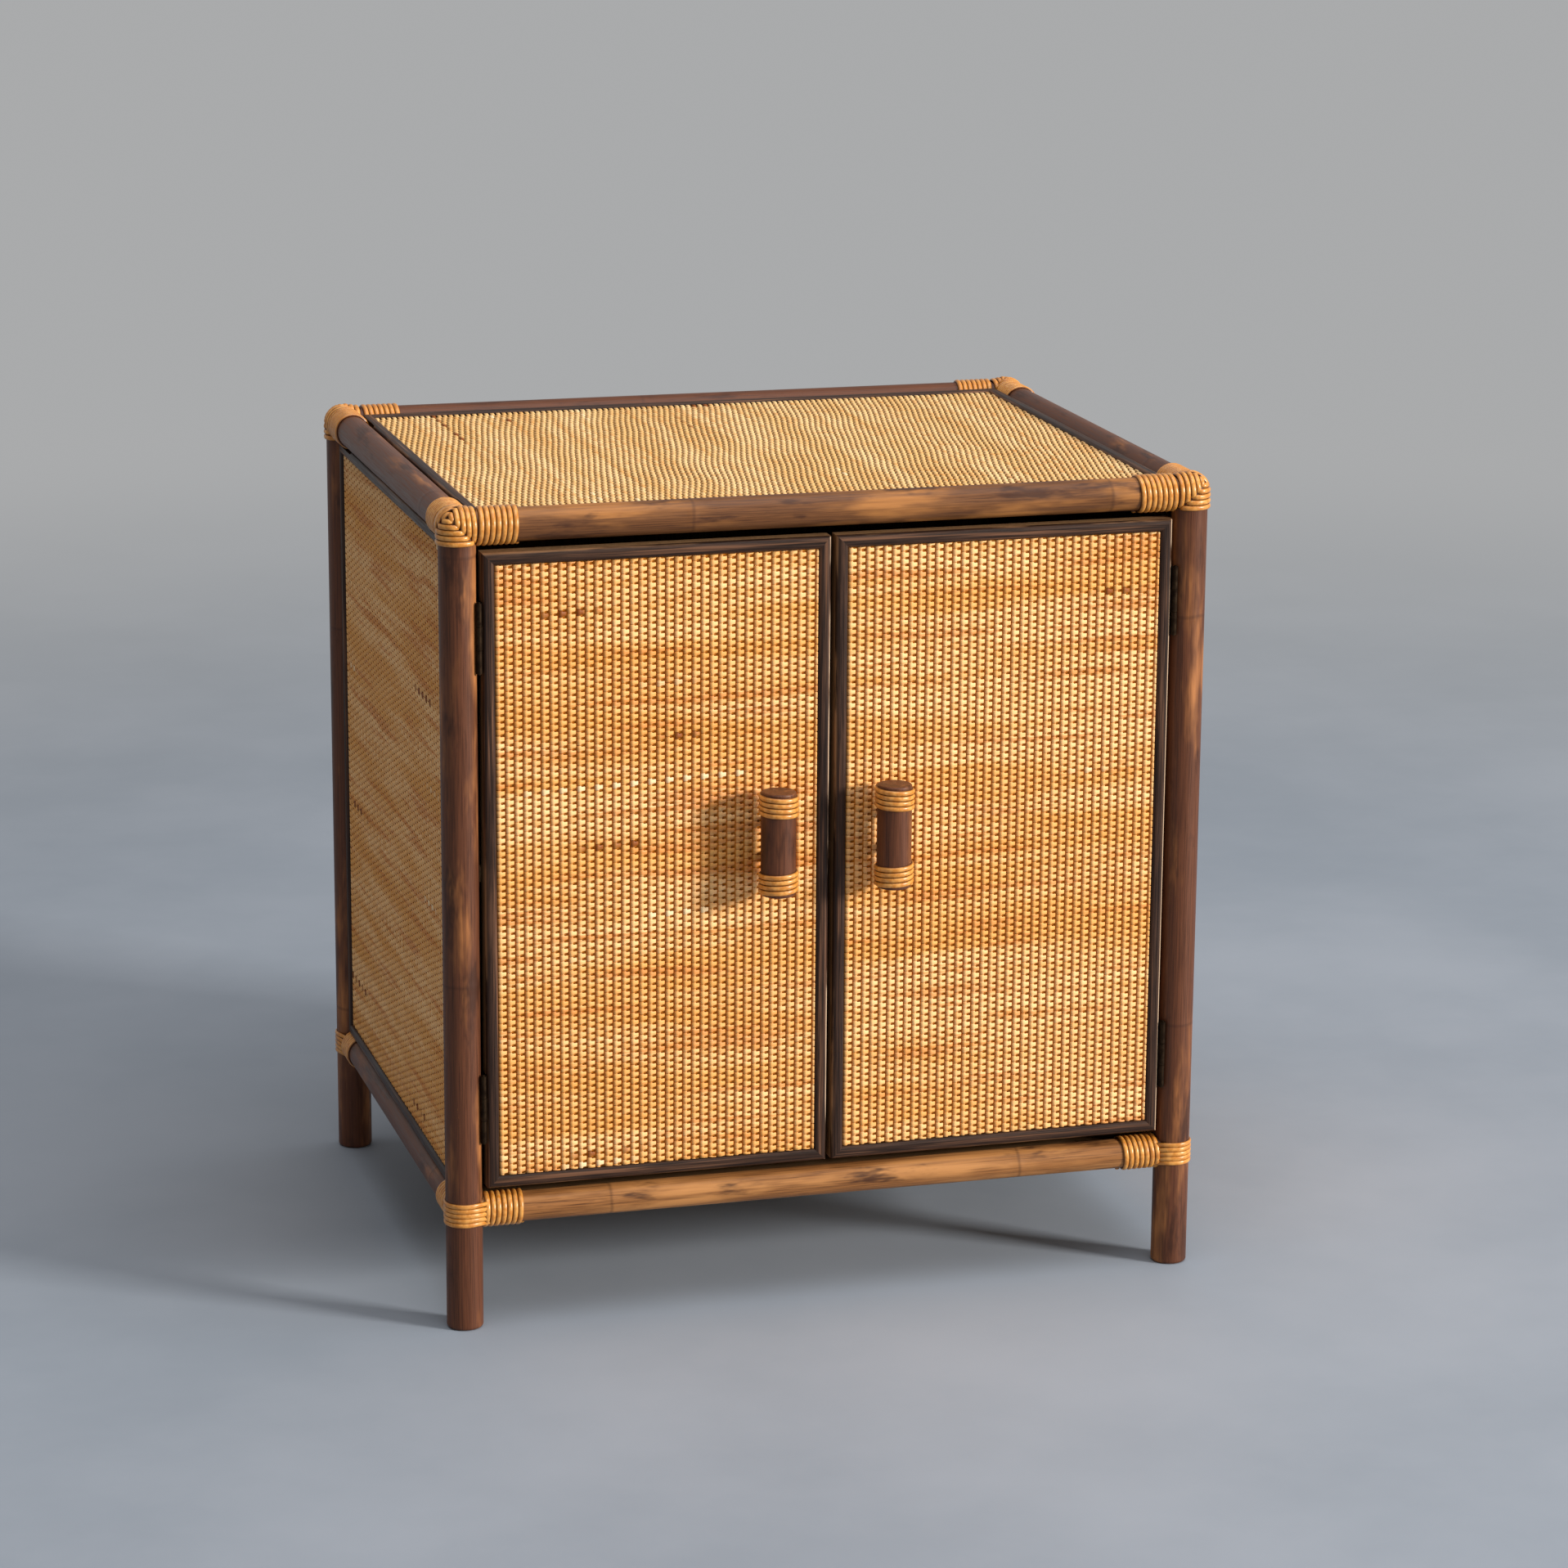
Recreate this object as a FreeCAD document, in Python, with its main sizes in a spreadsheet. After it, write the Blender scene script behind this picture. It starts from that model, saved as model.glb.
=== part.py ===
import FreeCAD, Part
import math
import os
import re
import Sketcher

# Two-door cane cabinet on four poles. Millimetres, +Z up, front towards -Y,
# origin on the floor under the middle of the whole box, handles included.

V = FreeCAD.Vector

# Driving sizes: alias, value, what it is
SIZES = [
    ("span_x", 540, "post axis to post axis along the front"),
    ("span_y", 420, "post axis to post axis front to back"),
    ("post_d", 26.5, "post pole diameter"),
    ("post_round", 11, "rounding of a post's top end"),
    ("foot_round", 2.5, "rounding of a post's foot"),
    ("top_axis_z", 587.5, "height of the top rails' axes"),
    ("top_rail_d", 24, "top rail pole diameter"),
    ("bottom_axis_z", 87.5, "height of the bottom rails' axes"),
    ("bottom_rail_d", 22, "bottom rail pole diameter"),
    ("glue_gap", 0.15, "glue line of a coped rail end"),
    ("dowel_d", 8, "rail dowel diameter"),
    ("dowel_in_post", 8, "dowel depth in the post"),
    ("dowel_in_rail", 22, "dowel depth in the rail"),
    ("dowel_fit", 0.1, "play round a dowel or peg"),
    ("cane_d", 2.8, "binding cane diameter"),
    ("cane_pitch", 4, "binding cane spacing"),
    ("cane_fit", 0.1, "seat of a binding on its pole"),
    ("cane_clear", 0.3, "room kept round a binding"),
    ("front_turns", 7, "turns on a front or back rail"),
    ("side_turns", 6, "turns on a side rail"),
    ("handle_turns", 4, "turns at each end of a handle"),
    ("strap_t", 2, "thickness of the strands round a post"),
    ("strap_h", 17, "height of the strands round a post's lower joint"),
    ("panel_gap", 0.2, "glue line round a panel"),
    ("board_t", 4, "panel board thickness"),
    ("mat_t", 2.5, "woven mat thickness"),
    ("mat_gap", 0.2, "gap between a mat and its beading"),
    ("bead_w", 8, "panel beading width"),
    ("bead_t", 4.5, "panel beading thickness"),
    ("bead_round", 2.5, "panel beading edge rounding"),
    ("floor_t", 6, "bottom board thickness"),
    ("shelf_z", 330, "height of the shelf's underside"),
    ("shelf_t", 12, "shelf thickness"),
    ("cleat_w", 12, "shelf cleat width"),
    ("cleat_h", 14, "shelf cleat height"),
    ("cleat_end", 8, "cleat end to post"),
    ("door_proud", 10, "door face in front of the post axes"),
    ("door_side_gap", 2.5, "door edge to post"),
    ("door_top_gap", 6, "door to top rail"),
    ("door_bottom_gap", 7, "door to bottom rail"),
    ("meet_gap", 4, "gap between the doors"),
    ("core_t", 10, "door board thickness"),
    ("trim_w", 9, "door moulding width"),
    ("trim_t", 4, "door moulding thickness"),
    ("trim_round", 3.2, "door moulding edge rounding"),
    ("handle_d", 25, "handle pole diameter"),
    ("handle_len", 76, "handle length"),
    ("handle_round", 1.5, "handle end rounding"),
    ("handle_gap", 9, "finger gap behind a handle"),
    ("handle_left_x", 46, "left handle from the middle"),
    ("handle_right_x", 40, "right handle from the middle"),
    ("handle_z", 354, "height of the handles' middle"),
    ("peg_d", 7, "handle peg diameter"),
    ("peg_clear", 1.1, "peg to the handle's winding"),
    ("peg_in_handle", 9, "peg depth in the handle"),
    ("peg_in_core", 7, "peg depth in the door board"),
    ("hinge_len", 50, "hinge length"),
    ("hinge_end", 60, "hinge middle from the door's end"),
    ("knuckle_d", 4.5, "hinge knuckle diameter"),
    ("pin_d", 2.4, "hinge pin diameter"),
    ("pin_play", 0.05, "running play of a hinge pin"),
    ("pin_head", 0.8, "hinge pin past the knuckles"),
    ("leaf_t", 0.9, "hinge leaf thickness"),
    ("leaf_w", 9, "hinge leaf width"),
    ("leaf_bite", 0.45, "leaf rolled into its knuckle"),
    ("leaf_seat", 0.05, "hinge leaf to post"),
    ("knuckle_gap", 0.3, "gap between knuckles"),
    ("hinge_set", 0.8, "hinge axis behind the door's face"),
    ("magnet_d", 8, "catch magnet diameter"),
    ("magnet_len", 10, "catch magnet length"),
    ("magnet_x", 22, "magnet from the middle"),
    ("plate_w", 16, "strike plate width"),
    ("plate_h", 12, "strike plate height"),
    ("plate_t", 1.2, "strike plate thickness"),
    ("catch_gap", 0.4, "closed door to magnet"),
    ("overrun", 5, "cut past a face"),
]

doc = FreeCAD.newDocument("cane_cabinet")
sheet = doc.addObject("Spreadsheet::Sheet", "Sizes")
for row, (alias, number, note) in enumerate(SIZES, start=1):
    sheet.set(f"A{row}", note)
    sheet.set(f"B{row}", str(number))
    sheet.setAlias(f"B{row}", alias)
doc.recompute()

nodes = []


def size(alias):
    """A driving size as a number."""
    return float(sheet.get(alias))


def bind(thing, prop, formula):
    """Ties a property to the sheet: each word of the formula is an alias there."""
    thing.setExpression(prop, re.sub(r"[a-z]\w*", r"Sizes.\g<0>", formula))


def place(thing, corner):
    for axis, formula in zip("xyz", corner):
        bind(thing, f"Placement.Base.{axis}", formula)


def node(piece, label):
    """Marks a finished sub-part."""
    piece.Label = label
    nodes.append(piece)
    return piece


# Shared places, as formulas of the sheet's aliases
POST_R = "(post_d / 2)"
TOP_R = "(top_rail_d / 2)"
BOTTOM_R = "(bottom_rail_d / 2)"
FRONT_REACH = "(door_proud + handle_gap + handle_d + cane_fit + cane_d)"
BACK_REACH = f"({POST_R} + cane_fit + strap_t)"
SHIFT_Y = f"(({FRONT_REACH} - {BACK_REACH}) / 2)"
POST_X = {"left": "(-span_x / 2)", "right": "(span_x / 2)"}
POST_Y = {"front": f"({SHIFT_Y} - span_y / 2)", "back": f"({SHIFT_Y} + span_y / 2)"}
POST_TOP = f"(top_axis_z + {TOP_R})"
RAIL_R = {"top": TOP_R, "bottom": BOTTOM_R}
RAIL_Z = {"top": "top_axis_z", "bottom": "bottom_axis_z"}
PANEL_LOW = f"(bottom_axis_z + {BOTTOM_R} + panel_gap)"
PANEL_HIGH = f"(top_axis_z - {TOP_R} - panel_gap)"
DOOR_EDGE = f"(span_x / 2 - {POST_R} - door_side_gap)"
DOOR_LOW = f"(bottom_axis_z + {BOTTOM_R} + door_bottom_gap)"
DOOR_HIGH = f"(top_axis_z - {TOP_R} - door_top_gap)"
DOOR_FACE = f"({POST_Y['front']} - door_proud)"
CORE_FACE = f"({DOOR_FACE} + trim_t)"
CORE_BACK = f"({CORE_FACE} + core_t)"
HINGE_X = f"({DOOR_EDGE} + leaf_bite + knuckle_d / 2)"
HINGE_Y = f"({DOOR_FACE} + hinge_set)"
SHELF_FRONT = f"({CORE_BACK} + plate_t + catch_gap)"
TURN = {
    "x": FreeCAD.Rotation(V(0, 1, 0), 90),
    "y": FreeCAD.Rotation(V(1, 0, 0), -90),
    "z": FreeCAD.Rotation(),
}


def box(name, low, high):
    piece = doc.addObject("Part::Box", name)
    for side, lo, hi in zip(("Length", "Width", "Height"), low, high):
        bind(piece, side, f"({hi}) - ({lo})")
    place(piece, low)
    return piece


def rod(name, along, radius, start, length):
    """A round bar from start, towards + along its axis."""
    piece = doc.addObject("Part::Cylinder", name)
    piece.Placement = FreeCAD.Placement(V(), TURN[along])
    bind(piece, "Radius", radius)
    bind(piece, "Height", length)
    place(piece, start)
    return piece


def join(kind, name, pieces):
    made = doc.addObject(kind, name)
    if kind == "Part::Compound":
        made.Links = pieces
    else:
        made.Shapes = pieces
    return made


def group(name, pieces):
    return join("Part::Compound", name, pieces)


def fuse(name, pieces):
    return join("Part::MultiFuse", name, pieces)


def cut(name, base, tool):
    made = doc.addObject("Part::Cut", name)
    made.Base = base
    made.Tool = tool
    return made


def rounded(name, piece, rims):
    """Fillets the closed rims of an upright bar: a list of (at its top?, radius)."""
    doc.recompute()
    shape = piece.Shape
    made = doc.addObject("Part::Fillet", name)
    made.Base = piece
    edges = []
    for number, edge in enumerate(shape.Edges, start=1):
        if not edge.isClosed():
            continue
        above = edge.CenterOfMass.z > shape.CenterOfMass.z
        edges += [(number, radius, radius) for at_top, radius in rims if at_top == above]
    made.Edges = edges
    return made


# Poles: posts, rails and the dowels between them

def inward(side, start, length):
    """Low end of a run that leaves an axis at start towards the middle."""
    return start if side in ("left", "front") else f"({start} - ({length}))"


def end_run(name, level, along, ns, ew, radius, offset, length):
    """A bar on a rail's axis, offset in from one post's axis."""
    x, y, z = POST_X[ew], POST_Y[ns], RAIL_Z[level]
    if along == "x":
        near = f"({x} + {offset})" if ew == "left" else f"({x} - {offset})"
        start = (inward(ew, near, length), y, z)
    else:
        near = f"({y} + {offset})" if ns == "front" else f"({y} - {offset})"
        start = (x, inward(ns, near, length), z)
    return rod(name, along, radius, start, length)


DOWEL_FROM = f"({POST_R} - dowel_in_post)"
DOWEL_LEN = "(dowel_in_post + dowel_in_rail)"
HOLE_FROM = f"({DOWEL_FROM} - dowel_fit)"
HOLE_LEN = f"({DOWEL_LEN} + 2 * dowel_fit)"
CORNERS = [(ns, ew) for ns in ("front", "back") for ew in ("left", "right")]

dowels = []
for level in RAIL_R:
    for along in "xy":
        for ns, ew in CORNERS:
            name = f"dowel_{level}_{along}_{ns}_{ew}"
            dowels.append(end_run(name, level, along, ns, ew, "dowel_d / 2", DOWEL_FROM, DOWEL_LEN))
node(group("dowel_set", dowels), "rail_dowels")


def dowel_hole(name, level, along, ns, ew):
    return end_run(name, level, along, ns, ew, "dowel_d / 2 + dowel_fit", HOLE_FROM, HOLE_LEN)


for ns, ew in CORNERS:
    name = f"post_{ns}_{ew}"
    pole = rod(f"{name}_pole", "z", POST_R, (POST_X[ew], POST_Y[ns], "0"), POST_TOP)
    ends = [(True, size("post_round")), (False, size("foot_round"))]
    pole = rounded(f"{name}_round", pole, ends)
    holes = [dowel_hole(f"{name}_{level}_{along}_hole", level, along, ns, ew)
             for level in RAIL_R for along in "xy"]
    node(cut(f"{name}_cut", pole, group(f"{name}_holes", holes)), name)


def cope(name, level, ns, ew):
    """The post's pole, with its glue line, as a cutter for a rail end."""
    low = f"({RAIL_Z[level]} - post_d)"
    return rod(name, "z", f"{POST_R} + glue_gap", (POST_X[ew], POST_Y[ns], low), "2 * post_d")


def rail(level, along, side):
    """A rail between two posts, coped to them; a side rail also clears the front and back rails."""
    name = f"{level}_rail_{side}"
    if along == "x":
        ends = [(side, "left"), (side, "right")]
        start, span = (POST_X["left"], POST_Y[side], RAIL_Z[level]), "span_x"
    else:
        ends = [("front", side), ("back", side)]
        start, span = (POST_X[side], POST_Y["front"], RAIL_Z[level]), "span_y"
    piece = rod(f"{name}_pole", along, RAIL_R[level], start, span)
    copes = [cope(f"{name}_cope_{i}", level, *end) for i, end in enumerate(ends)]
    piece = cut(f"{name}_coped", piece, group(f"{name}_copes", copes))
    if along == "y":
        radius = f"{RAIL_R[level]} + glue_gap"
        trims = [end_run(f"{name}_trim_{i}", level, "x", *end, radius, "0", "2 * post_d")
                 for i, end in enumerate(ends)]
        piece = cut(f"{name}_trimmed", piece, group(f"{name}_trims", trims))
    holes = [dowel_hole(f"{name}_hole_{i}", level, along, *end) for i, end in enumerate(ends)]
    node(cut(f"{name}_drilled", piece, group(f"{name}_holes", holes)), name)


for level in RAIL_R:
    for side in ("front", "back"):
        rail(level, "x", side)
    for side in ("left", "right"):
        rail(level, "y", side)


# Bindings: cane wound in one unbroken run round each rail end, strands round the posts

def arc(start, corner, end):
    """The arc that touches start-corner and corner-end."""
    middle = (start + end) * 0.5
    half = (end - start).Length / 2
    lean = math.acos(half / (corner - start).Length)
    out = (corner - middle).normalize()
    return Part.Arc(start, middle + out * (half * math.tan(lean / 2)), end).toShape()


def biarc(start, leave, end, arrive):
    """Two arcs from start to end that leave and arrive along the given directions."""
    chord = end - start
    both = leave + arrive
    spread = 2 * (1 - leave.dot(arrive))
    lead = chord.dot(both)
    reach = (math.sqrt(lead * lead + spread * chord.dot(chord)) - lead) / spread
    first = start + leave * reach
    last = end - arrive * reach
    meet = (first + last) * 0.5
    return [arc(start, first, meet), arc(meet, last, end)]


least_gaps = []
volume_share = 0.02


def winding(name, start, along, radius, turns):
    """Cane wound round an axis: along is the unit direction it advances in."""
    pitch = size("cane_pitch")
    tube = size("cane_d")
    side = V(0, 1, 0) if along.z else along.cross(V(0, 0, 1))
    up = along.cross(side)

    def point(angle):
        ring = side * math.cos(angle) + up * math.sin(angle)
        return start + along * (pitch * angle / (2 * math.pi)) + ring * radius

    def heading(angle):
        ring = up * math.cos(angle) - side * math.sin(angle)
        return (ring * radius + along * (pitch / (2 * math.pi))).normalize()

    stops = [math.pi * step for step in range(2 * int(turns) + 1)]
    first, last = stops[0], stops[-1]
    path = [Part.LineSegment(point(first) - heading(first) * tube, point(first)).toShape()]
    for here, there in zip(stops, stops[1:]):
        path += biarc(point(here), heading(here), point(there), heading(there))
    path.append(Part.LineSegment(point(last), point(last) + heading(last) * tube).toShape())
    wire = Part.Wire(path)
    tip = wire.OrderedVertexes[0].Point
    section = Part.Wire([Part.Circle(tip, heading(first), tube / 2).toShape()])
    made = doc.addObject("Part::Feature", name)
    made.Shape = wire.makePipeShell([section], True, False)

    per_turn = 24
    marks = wire.discretize(per_turn * int(turns))
    gaps = [(a - b).Length for i, a in enumerate(marks) for b in marks[i + per_turn // 2:]]
    least_gaps.append(min(gaps) - tube)
    drawn = math.pi * tube * tube / 4 * wire.Length
    if abs(made.Shape.Volume / drawn - 1) > volume_share:
        raise ValueError(f"{name}: volume {made.Shape.Volume:.1f}, section by length {drawn:.1f}")
    return made


OUT = {"left": -1, "right": 1, "front": -1, "back": 1}
COIL_OUT = "(cane_fit + cane_d)"
COIL_CLEAR = f"({COIL_OUT} + cane_clear)"
FIRST_TURN_X = f"({POST_R} + cane_d / 2 + cane_clear)"


def post_point(level, ns, ew):
    """Where a post's axis meets the axes of its rails, as numbers."""
    reach_front = sum(size(a) for a in ("door_proud", "handle_gap", "handle_d", "cane_fit", "cane_d"))
    reach_back = size("post_d") / 2 + size("cane_fit") + size("strap_t")
    middle_y = (reach_front - reach_back) / 2
    height = size("top_axis_z" if level == "top" else "bottom_axis_z")
    return V(OUT[ew] * size("span_x") / 2, middle_y + OUT[ns] * size("span_y") / 2, height)


def corner_coils(level, ns, ew):
    """The windings on the two rails at a corner."""
    core = size("top_rail_d" if level == "top" else "bottom_rail_d") / 2
    radius = core + size("cane_fit") + size("cane_d") / 2
    from_post = size("post_d") / 2 + size("cane_d") / 2 + size("cane_clear")
    past_coil = max(from_post, radius + size("cane_d") + size("cane_clear"))
    axis = post_point(level, ns, ew)
    in_x = V(-OUT[ew], 0, 0)
    in_y = V(0, -OUT[ns], 0)
    name = f"{level}_{ns}_{ew}"
    return [
        winding(f"coil_x_{name}", axis + in_x * from_post, in_x, radius, size("front_turns")),
        winding(f"coil_y_{name}", axis + in_y * past_coil, in_y, radius, size("side_turns")),
    ]


def post_shell(name, level, ns, ew):
    """The strands round a post's outer side, clear of both rails' windings."""
    x, y = POST_X[ew], POST_Y[ns]
    inner, outer = f"({POST_R} + cane_fit)", f"({POST_R} + cane_fit + strap_t)"
    if level == "top":
        low = f"({RAIL_Z[level]} - {TOP_R})"
        skin = rod(f"{name}_outer", "z", outer, (x, y, low), f"{POST_TOP} + cane_fit + strap_t - {low}")
        dome = size("post_round") + size("cane_fit") + size("strap_t")
        skin = rounded(f"{name}_dome", skin, [(True, dome)])
        core = rod(f"{name}_inner", "z", inner, (x, y, f"{low} - overrun"),
                   f"{POST_TOP} + cane_fit - {low} + overrun")
        core = rounded(f"{name}_hollow", core, [(True, size("post_round") + size("cane_fit"))])
    else:
        low = f"({RAIL_Z[level]} - strap_h / 2)"
        skin = rod(f"{name}_outer", "z", outer, (x, y, low), "strap_h")
        core = rod(f"{name}_inner", "z", inner, (x, y, f"{low} - overrun"), "strap_h + 2 * overrun")
    room = f"{RAIL_R[level]} + {COIL_CLEAR}"
    reach = "2 * post_d"
    rails = [end_run(f"{name}_room_{along}", level, along, ns, ew, room, "0", reach) for along in "xy"]
    low_corner = (inward(ew, x, reach), inward(ns, y, reach), f"({RAIL_Z[level]} - post_d)")
    high_corner = tuple(f"({low_corner[i]} + 2 * post_d)" for i in range(3))
    rails.append(box(f"{name}_inner_corner", low_corner, high_corner))
    shell = cut(f"{name}_shell", skin, core)
    return cut(f"{name}_strands", shell, fuse(f"{name}_rooms", rails))


for level in RAIL_R:
    for ns, ew in CORNERS:
        name = f"binding_{level}_{ns}_{ew}"
        pieces = corner_coils(level, ns, ew) + [post_shell(name, level, ns, ew)]
        node(group(f"{name}_set", pieces), f"{level}_corner_binding_{ns}_{ew}")


def binding_room(level):
    """The space round all the windings of one level, cut out of the panels."""
    radius = f"{RAIL_R[level]} + {COIL_CLEAR}"
    first_y = f"({RAIL_R[level]} + {COIL_OUT} + {FIRST_TURN_X})"
    lengths = {
        "x": f"({FIRST_TURN_X} + front_turns * cane_pitch + 2 * cane_d)",
        "y": f"({first_y} + side_turns * cane_pitch + 2 * cane_d)",
    }
    rods = []
    for along, length in lengths.items():
        for ns, ew in CORNERS:
            name = f"room_{level}_{along}_{ns}_{ew}"
            rods.append(end_run(name, level, along, ns, ew, radius, "0", length))
    return fuse(f"binding_room_{level}", rods)


# Panels: boards between the poles, woven mats on them, mitred beading round the mats

ROOM = {level: binding_room(level) for level in RAIL_R}


def clear_of_bindings(name, piece):
    return cut(f"{name}_clear", cut(f"{name}_clear_top", piece, ROOM["top"]), ROOM["bottom"])


def strip(name, length, width, thick):
    """A flat strip with both ends mitred inwards: outer edge on X, thickness on Z."""
    body = doc.addObject("PartDesign::Body", name)
    sketch = body.newObject("Sketcher::SketchObject", f"{name}_outline")
    plane = [f for f in body.Origin.OriginFeatures if f.Role == "XY_Plane"][0]
    sketch.AttachmentSupport = [(plane, "")]
    sketch.MapMode = "FlatFace"
    long, wide = 4 * size("trim_w"), size("trim_w")
    ends = [V(0, 0, 0), V(long, 0, 0), V(long - wide, wide, 0), V(wide, wide, 0)]
    for i, end in enumerate(ends):
        sketch.addGeometry(Part.LineSegment(end, ends[(i + 1) % len(ends)]), False)
    for i in range(len(ends)):
        sketch.addConstraint(Sketcher.Constraint("Coincident", i, 2, (i + 1) % len(ends), 1))
    sketch.addConstraint(Sketcher.Constraint("Coincident", 0, 1, -1, 1))
    sketch.addConstraint(Sketcher.Constraint("Horizontal", 0))
    sketch.addConstraint(Sketcher.Constraint("Horizontal", 2))
    drawn = [
        (Sketcher.Constraint("DistanceX", -1, 1, 1, 1, long), length),
        (Sketcher.Constraint("DistanceX", -1, 1, 2, 1, long - wide), f"{length} - {width}"),
        (Sketcher.Constraint("DistanceX", -1, 1, 3, 1, wide), width),
        (Sketcher.Constraint("DistanceY", -1, 1, 3, 1, wide), width),
    ]
    for constraint, formula in drawn:
        number = sketch.addConstraint(constraint)
        bind(sketch, f"Constraints[{number}]", formula)
    pad = body.newObject("PartDesign::Pad", f"{name}_pad")
    pad.Profile = sketch
    bind(pad, "Length", thick)
    return body


def soften(body, radius):
    """Rounds the two long front edges of a strip."""
    pad = body.Tip
    top = pad.Shape.BoundBox.ZMax
    near = radius / 10
    flat = [f"Edge{i}" for i, e in enumerate(pad.Shape.Edges, start=1)
            if e.BoundBox.ZLength < near and e.BoundBox.YLength < near
            and abs(e.CenterOfMass.z - top) < near]
    fillet = body.newObject("PartDesign::Fillet", f"{body.Name}_soft")
    fillet.Base = (pad, flat)
    bind(fillet, "Radius", {"bead": "bead_round", "trim": "trim_round"}[body.Name.split("_")[0]])


FACING = {
    "top": (V(1, 0, 0), V(0, 1, 0)),
    "front": (V(1, 0, 0), V(0, 0, 1)),
    "left": (V(0, -1, 0), V(0, 0, 1)),
    "right": (V(0, 1, 0), V(0, 0, 1)),
    "back": (V(-1, 0, 0), V(0, 0, 1)),
}


def frame_strips(kind, name, facing, corner, across, upward):
    """Four mitred strips round a panel: corner is its lower left, seen from outside."""
    right, up = FACING[facing]
    out = right.cross(up)
    turned = FreeCAD.Matrix(right.x, up.x, out.x, 0,
                            right.y, up.y, out.y, 0,
                            right.z, up.z, out.z, 0)
    width, thick = f"{kind}_w", f"{kind}_t"
    strips = []
    for quarter, (length, steps_right, steps_up) in enumerate([
            (across, 0, 0), (upward, 1, 0), (across, 1, 1), (upward, 0, 1)]):
        piece = strip(f"{kind}_{name}_{quarter}", length, width, thick)
        spin = FreeCAD.Rotation(V(0, 0, 1), 90 * quarter)
        piece.Placement = FreeCAD.Placement(V(), FreeCAD.Rotation(turned).multiply(spin))
        start = []
        for i in range(3):
            move = f"{int(right[i]) * steps_right} * {across} + {int(up[i]) * steps_up} * {upward}"
            start.append(f"({corner[i]}) + {move}")
        place(piece, start)
        strips.append(piece)
    doc.recompute()
    for piece in strips:
        soften(piece, size(f"{kind}_round"))
    return group(f"{kind}_{name}_frame", strips)


INSET = "(bead_w + mat_gap)"
MIDDLE_Y = SHIFT_Y

# Top: the board lies on the rails' middle level, the mat and its beading on the board
TOP_X = f"(span_x / 2 - {TOP_R} - panel_gap)"
TOP_Y = f"(span_y / 2 - {TOP_R} - panel_gap)"
TOP_BOARD_Z = "(top_axis_z + board_t)"
top_low = (f"(-{TOP_X})", f"({MIDDLE_Y} - {TOP_Y})", "top_axis_z")
top_high = (TOP_X, f"({MIDDLE_Y} + {TOP_Y})", TOP_BOARD_Z)
node(clear_of_bindings("top_panel", box("top_panel", top_low, top_high)), "top_board")
weave = box("top_weave", (f"-{TOP_X} + {INSET}", f"{MIDDLE_Y} - {TOP_Y} + {INSET}", TOP_BOARD_Z),
            (f"{TOP_X} - {INSET}", f"{MIDDLE_Y} + {TOP_Y} - {INSET}", f"{TOP_BOARD_Z} + mat_t"))
node(weave, "top_mat")
beading = frame_strips("bead", "top", "top", (f"-{TOP_X}", f"{MIDDLE_Y} - {TOP_Y}", TOP_BOARD_Z),
                       f"(2 * {TOP_X})", f"(2 * {TOP_Y})")
node(clear_of_bindings("top_bead", beading), "top_beading")

# Sides: boards in the plane of the post axes, mat and beading outside
SIDE_Y = f"(span_y / 2 - {POST_R} - panel_gap)"
PANEL_H = f"({PANEL_HIGH} - {PANEL_LOW})"
for ew in ("left", "right"):
    out = OUT[ew]
    faces = [f"({POST_X[ew]} + {out} * ({depth}))" for depth in
             ("-board_t / 2", "board_t / 2", "board_t / 2 + mat_t")]
    inner, outer, woven = faces
    board_x = sorted((inner, outer), key=faces.index, reverse=out < 0)
    mat_x = sorted((outer, woven), key=faces.index, reverse=out < 0)
    board = box(f"{ew}_panel", (board_x[0], f"{MIDDLE_Y} - {SIDE_Y}", PANEL_LOW),
                (board_x[1], f"{MIDDLE_Y} + {SIDE_Y}", PANEL_HIGH))
    node(clear_of_bindings(f"{ew}_panel", board), f"{ew}_side_board")
    weave = box(f"{ew}_weave", (mat_x[0], f"{MIDDLE_Y} - {SIDE_Y} + {INSET}", f"{PANEL_LOW} + {INSET}"),
                (mat_x[1], f"{MIDDLE_Y} + {SIDE_Y} - {INSET}", f"{PANEL_HIGH} - {INSET}"))
    node(weave, f"{ew}_side_mat")
    start_y = f"{MIDDLE_Y} + {-out} * {SIDE_Y}"
    beading = frame_strips("bead", ew, ew, (outer, start_y, PANEL_LOW), f"(2 * {SIDE_Y})", PANEL_H)
    node(clear_of_bindings(f"{ew}_bead", beading), f"{ew}_side_beading")

# Back
BACK_X = f"(span_x / 2 - {POST_R} - panel_gap)"
BACK_FACE = f"({POST_Y['back']} + board_t / 2)"
board = box("back_panel", (f"-{BACK_X}", f"{POST_Y['back']} - board_t / 2", PANEL_LOW),
            (BACK_X, BACK_FACE, PANEL_HIGH))
node(clear_of_bindings("back_panel", board), "back_board")
weave = box("back_weave", (f"-{BACK_X} + {INSET}", BACK_FACE, f"{PANEL_LOW} + {INSET}"),
            (f"{BACK_X} - {INSET}", f"{BACK_FACE} + mat_t", f"{PANEL_HIGH} - {INSET}"))
node(weave, "back_mat")
corner = (BACK_X, BACK_FACE, PANEL_LOW)
beading = frame_strips("bead", "back", "back", corner, f"(2 * {BACK_X})", PANEL_H)
node(clear_of_bindings("back_bead", beading), "back_beading")

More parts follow.
